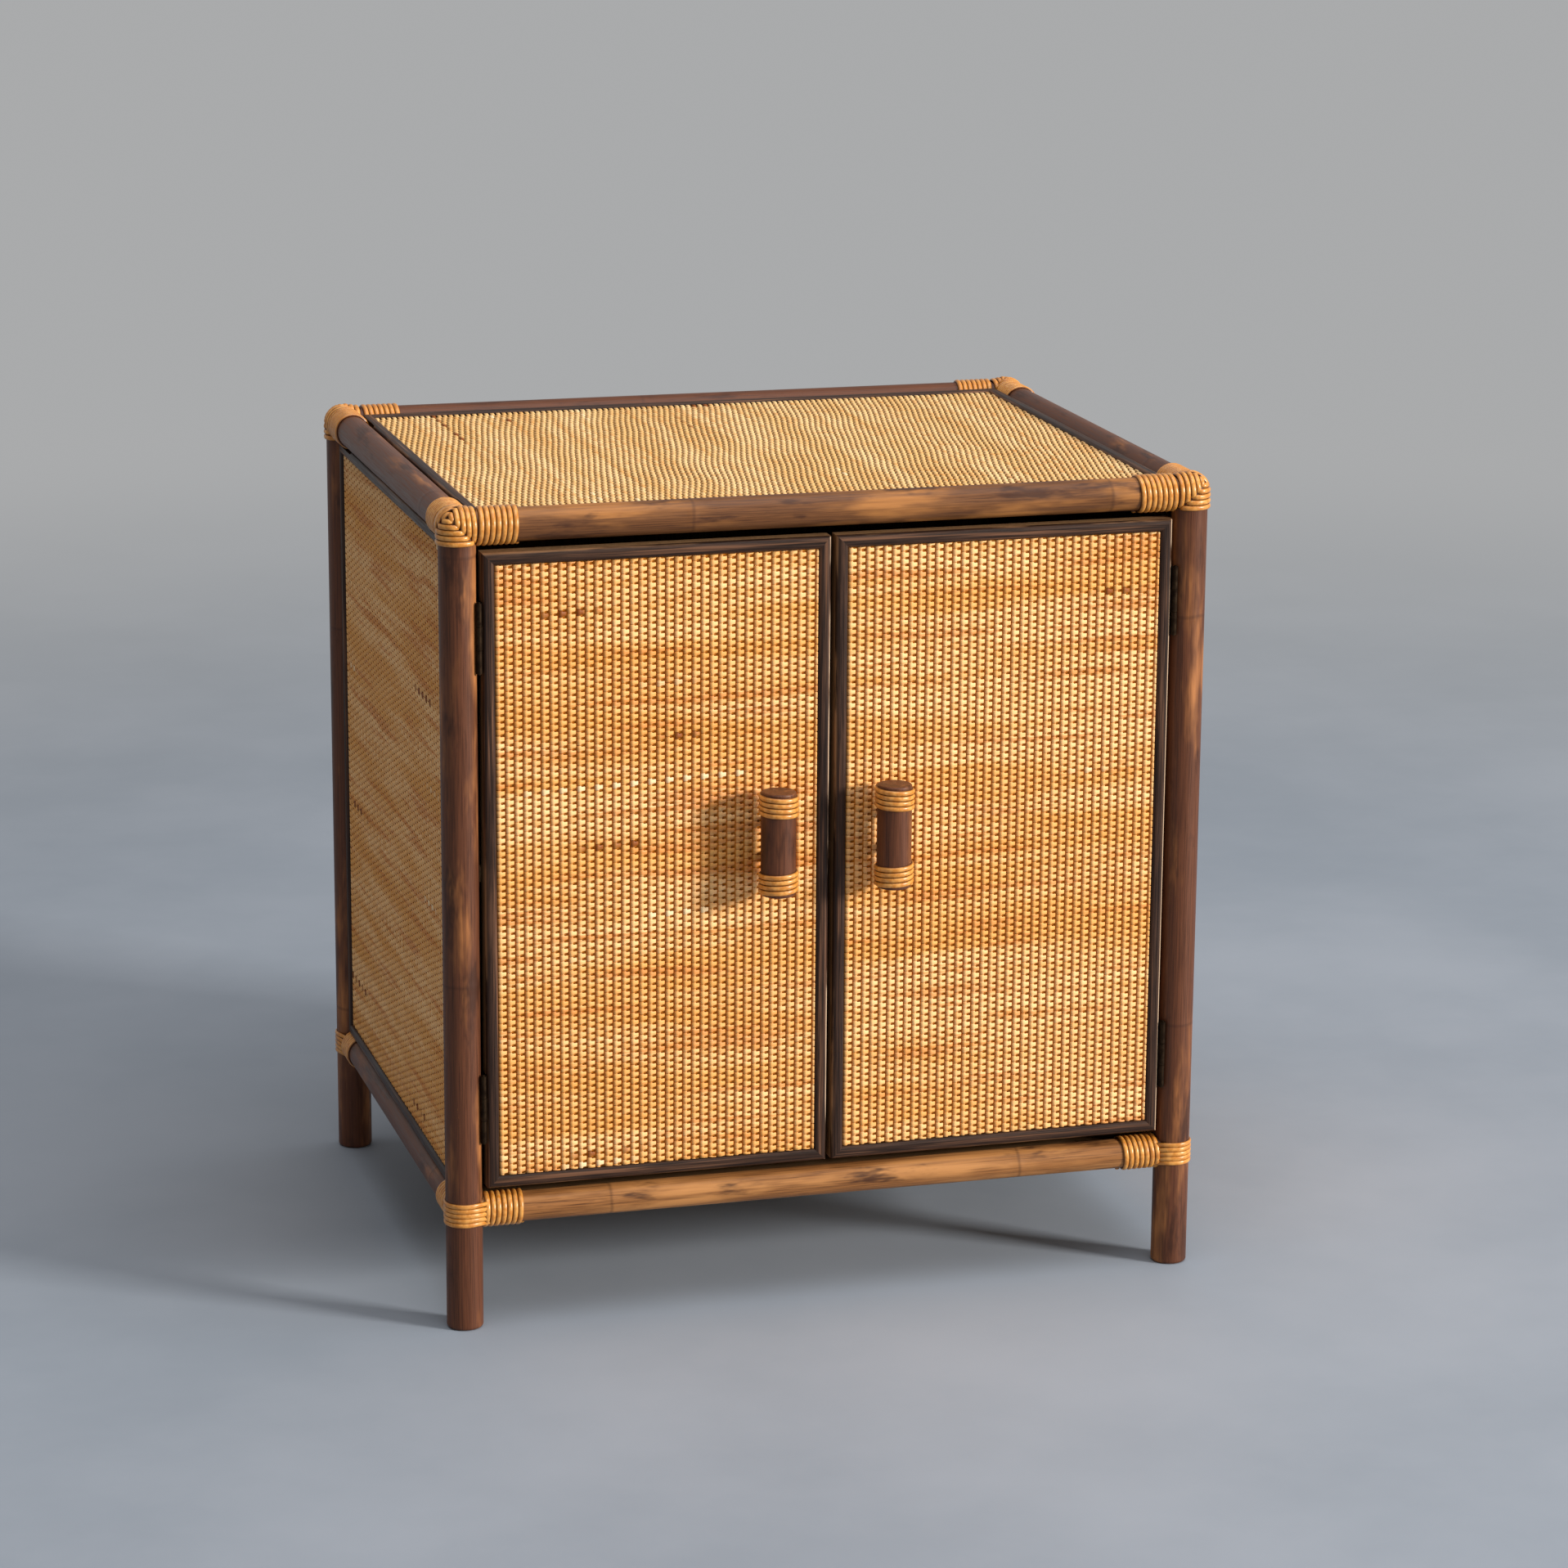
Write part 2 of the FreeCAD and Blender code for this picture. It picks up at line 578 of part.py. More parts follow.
# Bottom board, between the bottom rails at the level of their axes
FLOOR_X = f"(span_x / 2 - {BOTTOM_R} - panel_gap)"
FLOOR_Y = f"(span_y / 2 - {BOTTOM_R} - panel_gap)"
FLOOR_TOP = "(bottom_axis_z + floor_t / 2)"
board = box("floor_panel", (f"-{FLOOR_X}", f"{MIDDLE_Y} - {FLOOR_Y}", f"{FLOOR_TOP} - floor_t"),
            (FLOOR_X, f"{MIDDLE_Y} + {FLOOR_Y}", FLOOR_TOP))
node(cut("floor_panel_clear", board, ROOM["bottom"]), "bottom_board")

# Shelf on two cleats, notched round the posts, with the catch magnets in its front edge
SHELF_X = "(span_x / 2 - board_t / 2 - panel_gap)"
SHELF_BACK = f"({POST_Y['back']} - board_t / 2 - panel_gap)"
SHELF_TOP = "(shelf_z + shelf_t)"
shelf = box("shelf_panel", (f"-{SHELF_X}", SHELF_FRONT, "shelf_z"), (SHELF_X, SHELF_BACK, SHELF_TOP))
notches = []
for ns, ew in CORNERS:
    foot = (POST_X[ew], POST_Y[ns], "shelf_z - overrun")
    notches.append(rod(f"shelf_notch_{ns}_{ew}", "z", f"{POST_R} + cane_clear", foot,
                       "shelf_t + 2 * overrun"))
shelf = cut("shelf_notched", shelf, group("shelf_notches", notches))
magnets, sockets = [], []
for ew in ("left", "right"):
    at = (f"{OUT[ew]} * magnet_x", SHELF_FRONT, "shelf_z + shelf_t / 2")
    magnets.append(rod(f"magnet_{ew}", "y", "magnet_d / 2", at, "magnet_len"))
    mouth = (at[0], f"{SHELF_FRONT} - overrun", at[2])
    sockets.append(rod(f"magnet_socket_{ew}", "y", "magnet_d / 2 + dowel_fit", mouth,
                       "overrun + magnet_len + dowel_fit"))
node(cut("shelf_drilled", shelf, group("magnet_sockets", sockets)), "shelf")
node(group("magnet_pair", magnets), "catch_magnets")

CLEAT_Y = f"(span_y / 2 - {POST_R} - cleat_end)"
cleats = []
for ew in ("left", "right"):
    wall = f"({OUT[ew]} * (span_x / 2 - board_t / 2 - panel_gap))"
    low_x = wall if ew == "left" else f"({wall} - cleat_w)"
    cleats.append(box(f"cleat_{ew}", (low_x, f"{MIDDLE_Y} - {CLEAT_Y}", "shelf_z - cleat_h - panel_gap"),
                      (f"{low_x} + cleat_w", f"{MIDDLE_Y} + {CLEAT_Y}", "shelf_z - panel_gap")))
node(group("cleat_pair", cleats), "shelf_cleats")


# Doors, each a board with a woven mat, mitred moulding, a pole handle and two hinges

def span(side, near, far):
    """Low and high X of a run from near to far, out from the middle."""
    return (near, far) if side == "right" else (f"(-({far}))", f"(-({near}))")


HINGE_Z = {"lower": f"({DOOR_LOW} + hinge_end)", "upper": f"({DOOR_HIGH} - hinge_end)"}
KNUCKLE_LEN = "((hinge_len - 2 * knuckle_gap) / 3)"
POST_LEAF_X = f"(span_x / 2 - {POST_R} - leaf_seat)"
COIL_END = "(handle_len / 2 - handle_round - cane_d - handle_turns * cane_pitch)"
PEG_OFF = f"({COIL_END} - peg_clear - dowel_fit - peg_d / 2)"


def leaf(name, side, plate, tabs, knuckles, low):
    """A hinge leaf: a plate, rolled knuckles and the tabs that join them, bored for the pin."""
    near, far = plate
    low_x, high_x = span(side, near, far)
    plate_y = f"({HINGE_Y} + knuckle_d / 2 + knuckle_gap)"
    pieces = [box(f"{name}_plate", (low_x, plate_y, low),
                  (high_x, f"{HINGE_Y} + leaf_w + knuckle_d / 2", f"{low} + hinge_len"))]
    axis_x = f"({OUT[side]} * {HINGE_X})"
    for i in knuckles:
        start = f"({low} + {i} * ({KNUCKLE_LEN} + knuckle_gap))"
        pieces.append(box(f"{name}_tab_{i}", (low_x, f"{HINGE_Y} + {tabs}", start),
                          (high_x, f"{plate_y} + leaf_t", f"{start} + {KNUCKLE_LEN}")))
        pieces.append(rod(f"{name}_knuckle_{i}", "z", "knuckle_d / 2", (axis_x, HINGE_Y, start),
                          KNUCKLE_LEN))
    bore = rod(f"{name}_bore", "z", "pin_d / 2 + pin_play", (axis_x, HINGE_Y, f"{low} - overrun"),
               "hinge_len + 2 * overrun")
    return cut(f"{name}_bored", fuse(f"{name}_blank", pieces), bore)


post_leaves, pins = [], []
for side in ("left", "right"):
    name = f"{side}_door"
    low_x, high_x = span(side, "meet_gap / 2", DOOR_EDGE)
    width = f"({DOOR_EDGE} - meet_gap / 2)"
    height = f"({DOOR_HIGH} - {DOOR_LOW})"
    handle_x = f"({OUT[side]} * handle_{side}_x)"
    handle_y = f"({DOOR_FACE} - handle_gap - handle_d / 2)"
    peg_from = f"({handle_y} + handle_d / 2 - peg_in_handle)"
    peg_to = f"({CORE_FACE} + peg_in_core)"

    pegs, peg_holes = [], []
    for end, up in (("low", -1), ("high", 1)):
        peg_z = f"handle_z + {up} * {PEG_OFF}"
        pegs.append(rod(f"{name}_peg_{end}", "y", "peg_d / 2", (handle_x, peg_from, peg_z),
                        f"{peg_to} - {peg_from}"))
        peg_holes.append(rod(f"{name}_peg_hole_{end}", "y", "peg_d / 2 + dowel_fit",
                             (handle_x, f"{peg_from} - dowel_fit", peg_z),
                             f"{peg_to} - {peg_from} + 2 * dowel_fit"))
    peg_room = group(f"{name}_peg_room", peg_holes)
    node(group(f"{name}_peg_pair", pegs), f"{name}_handle_pegs")

    core = box(f"{name}_panel", (low_x, CORE_FACE, DOOR_LOW), (high_x, CORE_BACK, DOOR_HIGH))
    node(cut(f"{name}_core", core, peg_room), f"{name}_board")
    inset = "(trim_w + mat_gap)"
    low = (f"{low_x} + {inset}", f"{CORE_FACE} - mat_t", f"{DOOR_LOW} + {inset}")
    weave = box(f"{name}_weave", low, (f"{high_x} - {inset}", CORE_FACE, f"{DOOR_HIGH} - {inset}"))
    node(cut(f"{name}_weave_drilled", weave, peg_room), f"{name}_mat")
    moulding = frame_strips("trim", name, "front", (low_x, CORE_FACE, DOOR_LOW), width, height)
    node(moulding, f"{name}_moulding")

    foot = (handle_x, handle_y, "handle_z - handle_len / 2")
    stub = rod(f"{name}_stub", "z", "handle_d / 2", foot, "handle_len")
    ends = [(at_top, size("handle_round")) for at_top in (True, False)]
    stub = rounded(f"{name}_stub_round", stub, ends)
    node(cut(f"{name}_stub_drilled", stub, peg_room), f"{name}_handle")
    door_face = post_point("top", "front", side).y - size("door_proud")
    grip_y = door_face - size("handle_gap") - size("handle_d") / 2
    grip_x = OUT[side] * size(f"handle_{side}_x")
    grip_r = size("handle_d") / 2 + size("cane_fit") + size("cane_d") / 2
    first_turn = size("handle_len") / 2 - size("handle_round") - size("cane_d") / 2
    coils = []
    for up in (-1, 1):
        start = V(grip_x, grip_y, size("handle_z") + up * first_turn)
        coils.append(winding(f"{name}_coil_{up}", start, V(0, 0, -up), grip_r, size("handle_turns")))
    node(group(f"{name}_grip", coils), f"{name}_handle_bindings")

    plate_x = span(side, "magnet_x - plate_w / 2", "magnet_x + plate_w / 2")
    plate_low = "(shelf_z + shelf_t / 2 - plate_h / 2)"
    node(box(f"{name}_plate", (plate_x[0], CORE_BACK, plate_low),
             (plate_x[1], f"{CORE_BACK} + plate_t", f"{plate_low} + plate_h")), f"{name}_strike_plate")

    door_leaves = []
    on_door = (DOOR_EDGE, f"({DOOR_EDGE} + leaf_t)")
    on_post = (f"({POST_LEAF_X} - leaf_t)", POST_LEAF_X)
    past_pin = "pin_d / 2 + pin_play + leaf_bite"
    for end, middle in HINGE_Z.items():
        low = f"({middle} - hinge_len / 2)"
        door_leaves.append(leaf(f"{name}_leaf_{end}", side, on_door, "0", [1], low))
        post_leaves.append(leaf(f"{name}_post_leaf_{end}", side, on_post, past_pin, [0, 2], low))
        foot = (f"{OUT[side]} * {HINGE_X}", HINGE_Y, f"{low} - pin_head")
        pins.append(rod(f"{name}_pin_{end}", "z", "pin_d / 2", foot, "hinge_len + 2 * pin_head"))
    node(group(f"{name}_leaf_pair", door_leaves), f"{name}_hinge_leaves")
node(group("post_leaf_set", post_leaves), "post_hinge_leaves")
node(group("pin_set", pins), "hinge_pins")


# Check everything, then write one file per sub-part
doc.recompute()
print(f"least gap of a winding to itself: {min(least_gaps):.2f} mm over {len(least_gaps)} windings")
for thing in doc.Objects:
    if "Invalid" in thing.State or "Error" in thing.State:
        raise ValueError(f"{thing.Label}: {thing.State}")
for piece in nodes:
    shape = piece.Shape
    if shape.isNull() or not shape.isValid() or not shape.Solids:
        raise ValueError(f"{piece.Label}: not a valid solid")
os.makedirs("parts", exist_ok=True)
for piece in nodes:
    piece.Shape.exportStep(f"parts/{piece.Label}.step")
whole = Part.makeCompound([piece.Shape for piece in nodes]).BoundBox
print(f"{len(nodes)} nodes, box {whole}")
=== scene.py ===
import math
import random

import bmesh
import bpy
from mathutils import Matrix, Quaternion, Vector, noise


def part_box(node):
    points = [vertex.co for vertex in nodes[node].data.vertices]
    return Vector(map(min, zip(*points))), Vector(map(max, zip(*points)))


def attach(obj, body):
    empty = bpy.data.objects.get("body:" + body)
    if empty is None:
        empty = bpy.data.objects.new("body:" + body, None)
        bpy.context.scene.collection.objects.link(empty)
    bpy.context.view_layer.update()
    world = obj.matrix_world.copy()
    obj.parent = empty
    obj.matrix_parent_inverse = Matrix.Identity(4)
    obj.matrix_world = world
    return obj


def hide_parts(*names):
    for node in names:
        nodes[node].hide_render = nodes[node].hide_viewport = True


# Cane cabinet. Poles, mouldings, boards and fittings come from the frame with new finishes;
# the woven mats and the cane bindings are modelled strand by strand. Metres, front towards -Y.

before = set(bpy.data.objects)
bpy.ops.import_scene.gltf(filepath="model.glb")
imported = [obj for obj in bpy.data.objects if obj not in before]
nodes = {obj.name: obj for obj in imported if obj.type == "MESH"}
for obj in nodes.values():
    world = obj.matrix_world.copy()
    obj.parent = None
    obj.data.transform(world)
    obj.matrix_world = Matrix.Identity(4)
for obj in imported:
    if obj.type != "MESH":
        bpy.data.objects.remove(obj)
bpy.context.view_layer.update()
MM = 0.001
X, Y, Z = AXES = Vector((1, 0, 0)), Vector((0, 1, 0)), Vector((0, 0, 1))
SIDES = ("left", "right")
ENDS = ("front", "back")
TURN = 2 * math.pi


# Shader nodes as values to calculate with

class Wire:
    """An output of a node."""

    def __init__(self, shading, socket):
        self.shading = shading
        self.socket = socket

    def math(self, operation, *inputs):
        return self.shading.add("Math", {"operation": operation}, dict(enumerate(inputs)))

    def __add__(self, other):
        return self.math("ADD", self, other)

    def __sub__(self, other):
        return self.math("SUBTRACT", self, other)

    def __rsub__(self, other):
        return self.math("SUBTRACT", other, self)

    def __mul__(self, other):
        return self.math("MULTIPLY", self, other)

    def __lt__(self, other):
        return self.math("LESS_THAN", self, other)

    def least(self, other):
        return self.math("MINIMUM", self, other)

    def most(self, other):
        return self.math("MAXIMUM", self, other)

    def fraction(self):
        return self.math("FRACT", self)

    def fold(self, period):
        """Distance to the nearest multiple of a period."""
        return self.math("PINGPONG", self, period / 2)

    def fit(self, low, high, to_low=0.0, to_high=1.0):
        """Maps a range smoothly onto another, clamped."""
        inputs = {"Value": self, "From Min": low, "From Max": high,
                  "To Min": to_low, "To Max": to_high}
        return self.shading.add("MapRange", {"interpolation_type": "SMOOTHSTEP"}, inputs)


class Shading:
    """A node tree: a finish, the floor or the room."""

    def __init__(self, tree):
        self.tree = tree

    def add(self, kind, settings=None, inputs=None, output=0):
        """Adds any node and returns one of its outputs."""
        made = self.tree.nodes.new(f"ShaderNode{kind}")
        for key, value in (settings or {}).items():
            setattr(made, key, value)
        for key, value in (inputs or {}).items():
            self.join(value, made.inputs[key])
        return Wire(self, made.outputs[output])

    def join(self, value, socket):
        if isinstance(value, Wire):
            self.tree.links.new(value.socket, socket)
        else:
            socket.default_value = value

    def seen(self):
        """1 for the rays that look at a surface, 0 for those that light it."""
        camera, glossy, through = (self.add("LightPath", output=f"Is {kind} Ray")
                                   for kind in ("Camera", "Glossy", "Transmission"))
        return camera.most(glossy).most(through)


class Finish(Shading):
    """A procedural material; settings that are the same all over go straight on the shader."""

    def __init__(self, name, **settings):
        self.material = bpy.data.materials.new(name)
        self.material.use_nodes = True
        super().__init__(self.material.node_tree)
        self.shader = self.tree.nodes["Principled BSDF"]
        self.feed(**settings)
        self.place = self.add("TexCoord", output="Object")
        self.xyz = [self.add("SeparateXYZ", inputs={0: self.place}, output=i) for i in range(3)]

    def feed(self, **inputs):
        for key, value in inputs.items():
            label = key.replace("_", " ").title().replace("Ior", "IOR")
            self.join(value, self.shader.inputs[label])

    def noise(self, scales, detail=3.0, rough=0.55, vector=None):
        """Noise with its own scale per axis, per metre."""
        scaled = self.add("Mapping", inputs={"Vector": vector or self.place, "Scale": scales})
        return self.add("TexNoise", inputs={"Vector": scaled, "Scale": 1.0, "Detail": detail,
                                            "Roughness": rough})

    def vector(self, *parts):
        return self.add("CombineXYZ", inputs=dict(enumerate(parts)))

    def mix(self, share, first, second):
        first, second = ((*c, 1) if isinstance(c, tuple) else c for c in (first, second))
        return self.add("Mix", {"data_type": "RGBA"}, {0: share, 6: first, 7: second}, output=2)

    def emboss(self, height, depth, strength=1.0):
        """Relief of a height from 0 to 1, depth in metres."""
        bump = self.add("Bump", inputs={"Height": height, "Distance": depth, "Strength": strength})
        self.feed(Normal=bump)

    def dress(self, *names):
        for name in names:
            nodes[name].data.materials.clear()
            nodes[name].data.materials.append(self.material)


def stretched(axis, along, across):
    """Scales of a grain that runs along one axis."""
    return [along if i == axis else across for i in range(3)]


# Colours

DEEP = (0.046, 0.0155, 0.0078)
STAIN = (0.136, 0.046, 0.020)
WARM = (0.45, 0.176, 0.055)
RUST = (0.175, 0.068, 0.022)
AMBER = (0.42, 0.172, 0.046)
TAN = (0.34, 0.140, 0.042)
HONEY = (0.52, 0.235, 0.076)

STRIP_BLACK = (0.013, 0.0058, 0.0036)
STRIP_BROWN = (0.062, 0.027, 0.0145)
STRIP_STREAK = (0.21, 0.096, 0.050)
STRIP_RUBBED = (0.115, 0.052, 0.027)
STRIP_EDGE = (0.32, 0.165, 0.078)
# Pale wood of the front right arris, partly a painted highlight
BARE_WOOD_AND_HIGHLIGHT = (0.66, 0.47, 0.32)

# Pale, golden and flushed strands, and the painted shade in the hollows between them, partly dust
CANE_TONES = ((0.97, 0.585, 0.260), (0.83, 0.405, 0.115),
              (0.66, 0.235, 0.060), (0.60, 0.190, 0.006))
# Paler, yellower tones for the top mat: painted light from above
TOP_LIT_TONES = ((0.90, 0.61, 0.30), (0.78, 0.485, 0.195),
             (0.76, 0.460, 0.175), (0.11, 0.045, 0.006))
STRAND_ORANGE = (0.68, 0.27, 0.048)
STRAND_FLECK = (0.70, 0.29, 0.058)
STRAND_BURNT = (0.26, 0.075, 0.014)
STRAND_BLEACHED = (0.95, 0.72, 0.43)
STRAND_FIBRE = (0.56, 0.25, 0.060)

PEEL_DARK = (0.60, 0.225, 0.030)
PEEL_LIGHT = (0.76, 0.355, 0.080)
PEEL_BROWN = (0.52, 0.190, 0.028)
PEEL_BLOTCH = (0.42, 0.150, 0.026)
# Painted shade where a strand meets the next
PEEL_GROOVE_SHADE = (0.085, 0.018, 0.002)

PLY_LIGHT = (0.36, 0.205, 0.095)
PLY_DARK = (0.235, 0.120, 0.050)
DOWEL_LIGHT = (0.52, 0.33, 0.165)
DOWEL_DARK = (0.40, 0.235, 0.105)
HINGE_BRIGHT = (0.034, 0.021, 0.012)
HINGE_DULL = (0.015, 0.009, 0.006)
STEEL_BRIGHT = (0.62, 0.62, 0.63)
STEEL_DULL = (0.46, 0.46, 0.47)


# Finishes

JOINT_SPACING = 310 * MM
JOINT_WANDER = 6 * MM
JOINT_LINE = 2.2 * MM
JOINT_SWELL = 6 * MM


def pole_finish(name, axis, deep, stain, worn, worn_from, joint_at):
    """Stained cane pole: fibres along it, patches where the stain is thin, faint joint rings."""
    f = Finish(name, coat_weight=0.06, coat_roughness=0.3, specular_ior_level=0.24)
    fibres = f.noise(stretched(axis, 22, 1100), detail=5, rough=0.65)
    streaks = f.noise(stretched(axis, 9, 260), detail=3)
    patches = f.noise(stretched(axis, 7, 34), detail=4, rough=0.6)
    stains = f.noise(stretched(axis, 13, 55), detail=4, rough=0.65)
    scuffs = f.noise(stretched(axis, 60, 240), detail=4, rough=0.7)
    body = f.mix(fibres.fit(0.20, 0.66), deep, stain)
    thin = patches.fit(worn_from, worn_from + 0.2) * streaks.fit(0.22, 0.58)
    body = f.mix(thin, body, worn)
    body = f.mix(stains.fit(0.53, 0.66) * 0.85, body, deep)
    body = f.mix(scuffs.fit(0.70, 0.80) * 0.5, body, worn)
    wobble = f.noise([25, 25, 25], detail=2) * JOINT_WANDER
    ring = (f.xyz[axis] + wobble + joint_at).fold(JOINT_SPACING)
    body = f.mix(ring.fit(0.0, JOINT_LINE, 1.0, 0.0) * 0.4, body, deep)
    f.feed(base_color=body, roughness=fibres.fit(0.25, 0.8, 0.34, 0.56) + thin * 0.06)
    swell = ring.fit(0.0, JOINT_SWELL, 0.5, 0.0)
    f.emboss(fibres * 0.5 + streaks * 0.4 + swell, 0.5 * MM, 0.6)
    return f


def strip_finish(node, u, v, worn_share, bare_and_highlight_share=0.0):
    """Mitred dark strips round a panel: grain along each strip and rubbed edges; a bare share
    takes the front right arris, the edge towards the light, to pale wood: partly wear, partly a
    painted highlight."""
    f = Finish(node, coat_weight=0.04, coat_roughness=0.3, specular_ior_level=0.22)
    lo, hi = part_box(node)
    from_u = (f.xyz[u] - lo[u]).least(hi[u] - f.xyz[u])
    from_v = (f.xyz[v] - lo[v]).least(hi[v] - f.xyz[v])
    runs_u = from_v < from_u
    edge = from_u.least(from_v)

    def along_strips(along, across, detail):
        level, upright = (f.noise(stretched(axis, along, across), detail, 0.65) for axis in (u, v))
        return level * runs_u + upright * (1 - runs_u)

    grain = along_strips(18, 900, 5)
    streaks = along_strips(6, 330, 3)
    rub = along_strips(8, 60, 4)
    body = f.mix(grain.fit(0.35, 0.72), STRIP_BLACK, STRIP_BROWN)
    body = f.mix(streaks.fit(0.53, 0.68) * 0.7, body, STRIP_STREAK)
    body = f.mix(rub.fit(0.60, 0.74) * 0.5, body, STRIP_RUBBED)
    rubbed = edge.fit(0.2 * MM, 1.8 * MM, 1.0, 0.0) * rub.fit(0.50, 0.62) * worn_share
    body = f.mix(rubbed, body, STRIP_EDGE)
    if bare_and_highlight_share:
        out = 3 - u - v
        front = (f.xyz[out] - lo[out]).fit(1.2 * MM, 3.0 * MM, 1.0, 0.0)
        arris = (hi[u] - f.xyz[u]).fit(0.7 * MM, 1.6 * MM, 1.0, 0.0) * front
        # Pale front right arris: partly bare wood, partly a painted highlight from the light on
        # the right
        bare_and_highlight = arris * rub.fit(0.62 - bare_and_highlight_share, 0.72 - bare_and_highlight_share)
        body = f.mix(bare_and_highlight, body, BARE_WOOD_AND_HIGHLIGHT)
    f.feed(base_color=body, roughness=grain.fit(0.3, 0.75, 0.36, 0.6))
    f.emboss(grain, 0.4 * MM, 0.6)
    return f


def weave_finish(name, along, across, out, base, thick, pale, golden, flushed, deep):
    """Natural cane strands: tone in bands and by strand, and brown painted shade, partly dust, in
    the hollows of the weave.
    """
    f = Finish(name, coat_weight=0.03, coat_roughness=0.3, specular_ior_level=0.15)
    strand = f.add("Attribute", {"attribute_name": "strand"}, output="Fac")
    run = f.xyz[along]

    def banded(per_run, per_row, detail, rough):
        """Noise that is the same all through the weave's thickness."""
        scales = [0, 0, 0]
        scales[along], scales[across] = per_run, per_row
        return f.noise(scales, detail, rough)

    def by_strand(per_run, spread, start):
        """Noise along each strand on its own."""
        return f.noise([1, 1, 1], detail=2, vector=f.vector(run * per_run, strand * spread, start))

    bands = banded(2.6, 32, 4, 0.62)
    blush = banded(6, 110, 3, 0.6)
    own = by_strand(3.5, 531, 0.0)
    flecks = by_strand(60, 977, 3.0)
    fibres = f.noise(stretched(along, 60, 1400), detail=3, rough=0.6)
    body = f.mix(bands.fit(0.39, 0.61), pale, golden)
    body = f.mix(blush.fit(0.53, 0.64) * 0.7, body, flushed)
    body = f.mix(own.fit(0.50, 0.66) * 0.4, body, STRAND_ORANGE)
    body = f.mix(flecks.fit(0.45, 0.72) * 0.4, body, STRAND_FLECK)
    body = f.mix(own.fit(0.705, 0.735) * flecks.fit(0.38, 0.50), body, STRAND_BURNT)
    body = f.mix(own.fit(0.27, 0.30, 1.0, 0.0) * 0.8, body, STRAND_BLEACHED)
    body = f.mix(fibres.fit(0.5, 0.8) * 0.3, body, STRAND_FIBRE)
    # Painted shade, partly dust: the deep colour darkens the strands the lower they lie in the
    # weave
    height = (f.xyz[out.index] - base) * out.sign
    hollow_dust_and_shade = height.fit(0.30 * thick, 0.80 * thick, 1.0, 0.0)
    body = f.mix(hollow_dust_and_shade * 0.92, body, deep)
    f.feed(base_color=body, roughness=fibres.fit(0.3, 0.7, 0.42, 0.6))
    f.emboss(fibres, 0.25 * MM, 0.5)
    return f


def binding_finish():
    """Lacquered natural cane peel, with painted shade where a strand meets the next."""
    f = Finish("binding_cane", coat_weight=0.42, coat_roughness=0.25, specular_ior_level=0.35)
    strand, crown = (f.add("Attribute", {"attribute_name": name}, output="Fac")
                     for name in ("strand", "crown"))
    rings = f.noise([260, 260, 260], detail=2)
    blotch = f.noise([55, 55, 55], detail=4, rough=0.6)
    body = f.mix(rings.fit(0.35, 0.65), PEEL_DARK, PEEL_LIGHT)
    body = f.mix(strand.fit(0.45, 1.0) * 0.5, body, PEEL_BROWN)
    body = f.mix(blotch.fit(0.55, 0.72) * 0.55, body, PEEL_BLOTCH)
    # Painted shade on the flanks, where a strand meets the next
    body = f.mix(crown.fit(0.25, 0.94, 0.97, 0.0), body, PEEL_GROOVE_SHADE)
    f.feed(base_color=body, roughness=blotch.fit(0.3, 0.7, 0.28, 0.44))
    f.emboss(f.noise([1500, 1500, 1500], detail=3), 0.2 * MM, 0.35)
    return f


def board_finish(name, axis, light, dark):
    """Stained plywood with grain along one axis."""
    f = Finish(name, coat_weight=0.06, coat_roughness=0.4, specular_ior_level=0.4)
    figure = f.noise(stretched(axis, 2.2, 26), detail=3, rough=0.5)
    lines = (figure * 22).fraction().fit(0.0, 0.9)
    pores = f.noise(stretched(axis, 35, 1300), detail=4, rough=0.7)
    cloud = f.noise([6, 6, 6], detail=3)
    body = f.mix(lines * 0.65 + cloud.fit(0.3, 0.8) * 0.3, light, dark)
    body = f.mix(pores.fit(0.58, 0.75) * 0.6, body, tuple(c * 0.4 for c in dark))
    f.feed(base_color=body, roughness=pores.fit(0.3, 0.8, 0.45, 0.65))
    f.emboss(pores * 0.7 + lines * 0.3, 0.3 * MM, 0.5)
    return f


def metal_finish(name, bright, dull, rough):
    """Worn metal: dull patina with brighter rubbed patches."""
    f = Finish(name, metallic=1.0)
    patina = f.noise([160, 160, 160], detail=4, rough=0.65)
    brush = f.noise([900, 900, 60], detail=3)
    body = f.mix(patina.fit(0.38, 0.66), bright, dull)
    f.feed(base_color=body, roughness=patina.fit(0.3, 0.7, rough - 0.08, rough + 0.15))
    f.emboss(brush, 0.1 * MM, 0.4)
    return f


for number, post in enumerate(f"post_{ns}_{ew}" for ns in ENDS for ew in SIDES):
    pole_finish(post, 2, DEEP, STAIN, WARM, 0.49, 0.05 + 0.07 * number).dress(post)
pole_finish("top_rail_front", 0, DEEP, RUST, AMBER, 0.44, 0.10).dress("top_rail_front")
pole_finish("bottom_rail_front", 0, DEEP, TAN, HONEY, 0.42, 0.16).dress("bottom_rail_front")
pole_finish("back_rails", 0, DEEP, STAIN, WARM, 0.58, 0.03).dress(
    "top_rail_back", "bottom_rail_back")
pole_finish("side_rails", 1, DEEP, STAIN, WARM, 0.58, 0.12).dress(
    *[f"{level}_rail_{side}" for level in ("top", "bottom") for side in SIDES])
for side, worn_from in zip(SIDES, (0.50, 0.60)):
    pole_finish(f"{side}_handle", 2, DEEP, STAIN, WARM, worn_from, 0.02).dress(
        f"{side}_door_handle")

for side in SIDES:
    strip_finish(f"{side}_side_beading", 1, 2, 0.5).dress(f"{side}_side_beading")
strip_finish("left_door_moulding", 0, 2, 0.8, 0.22).dress("left_door_moulding")
strip_finish("right_door_moulding", 0, 2, 1.0, 0.30).dress("right_door_moulding")
strip_finish("back_beading", 0, 2, 0.5).dress("back_beading")
strip_finish("top_beading", 0, 1, 0.7).dress("top_beading")

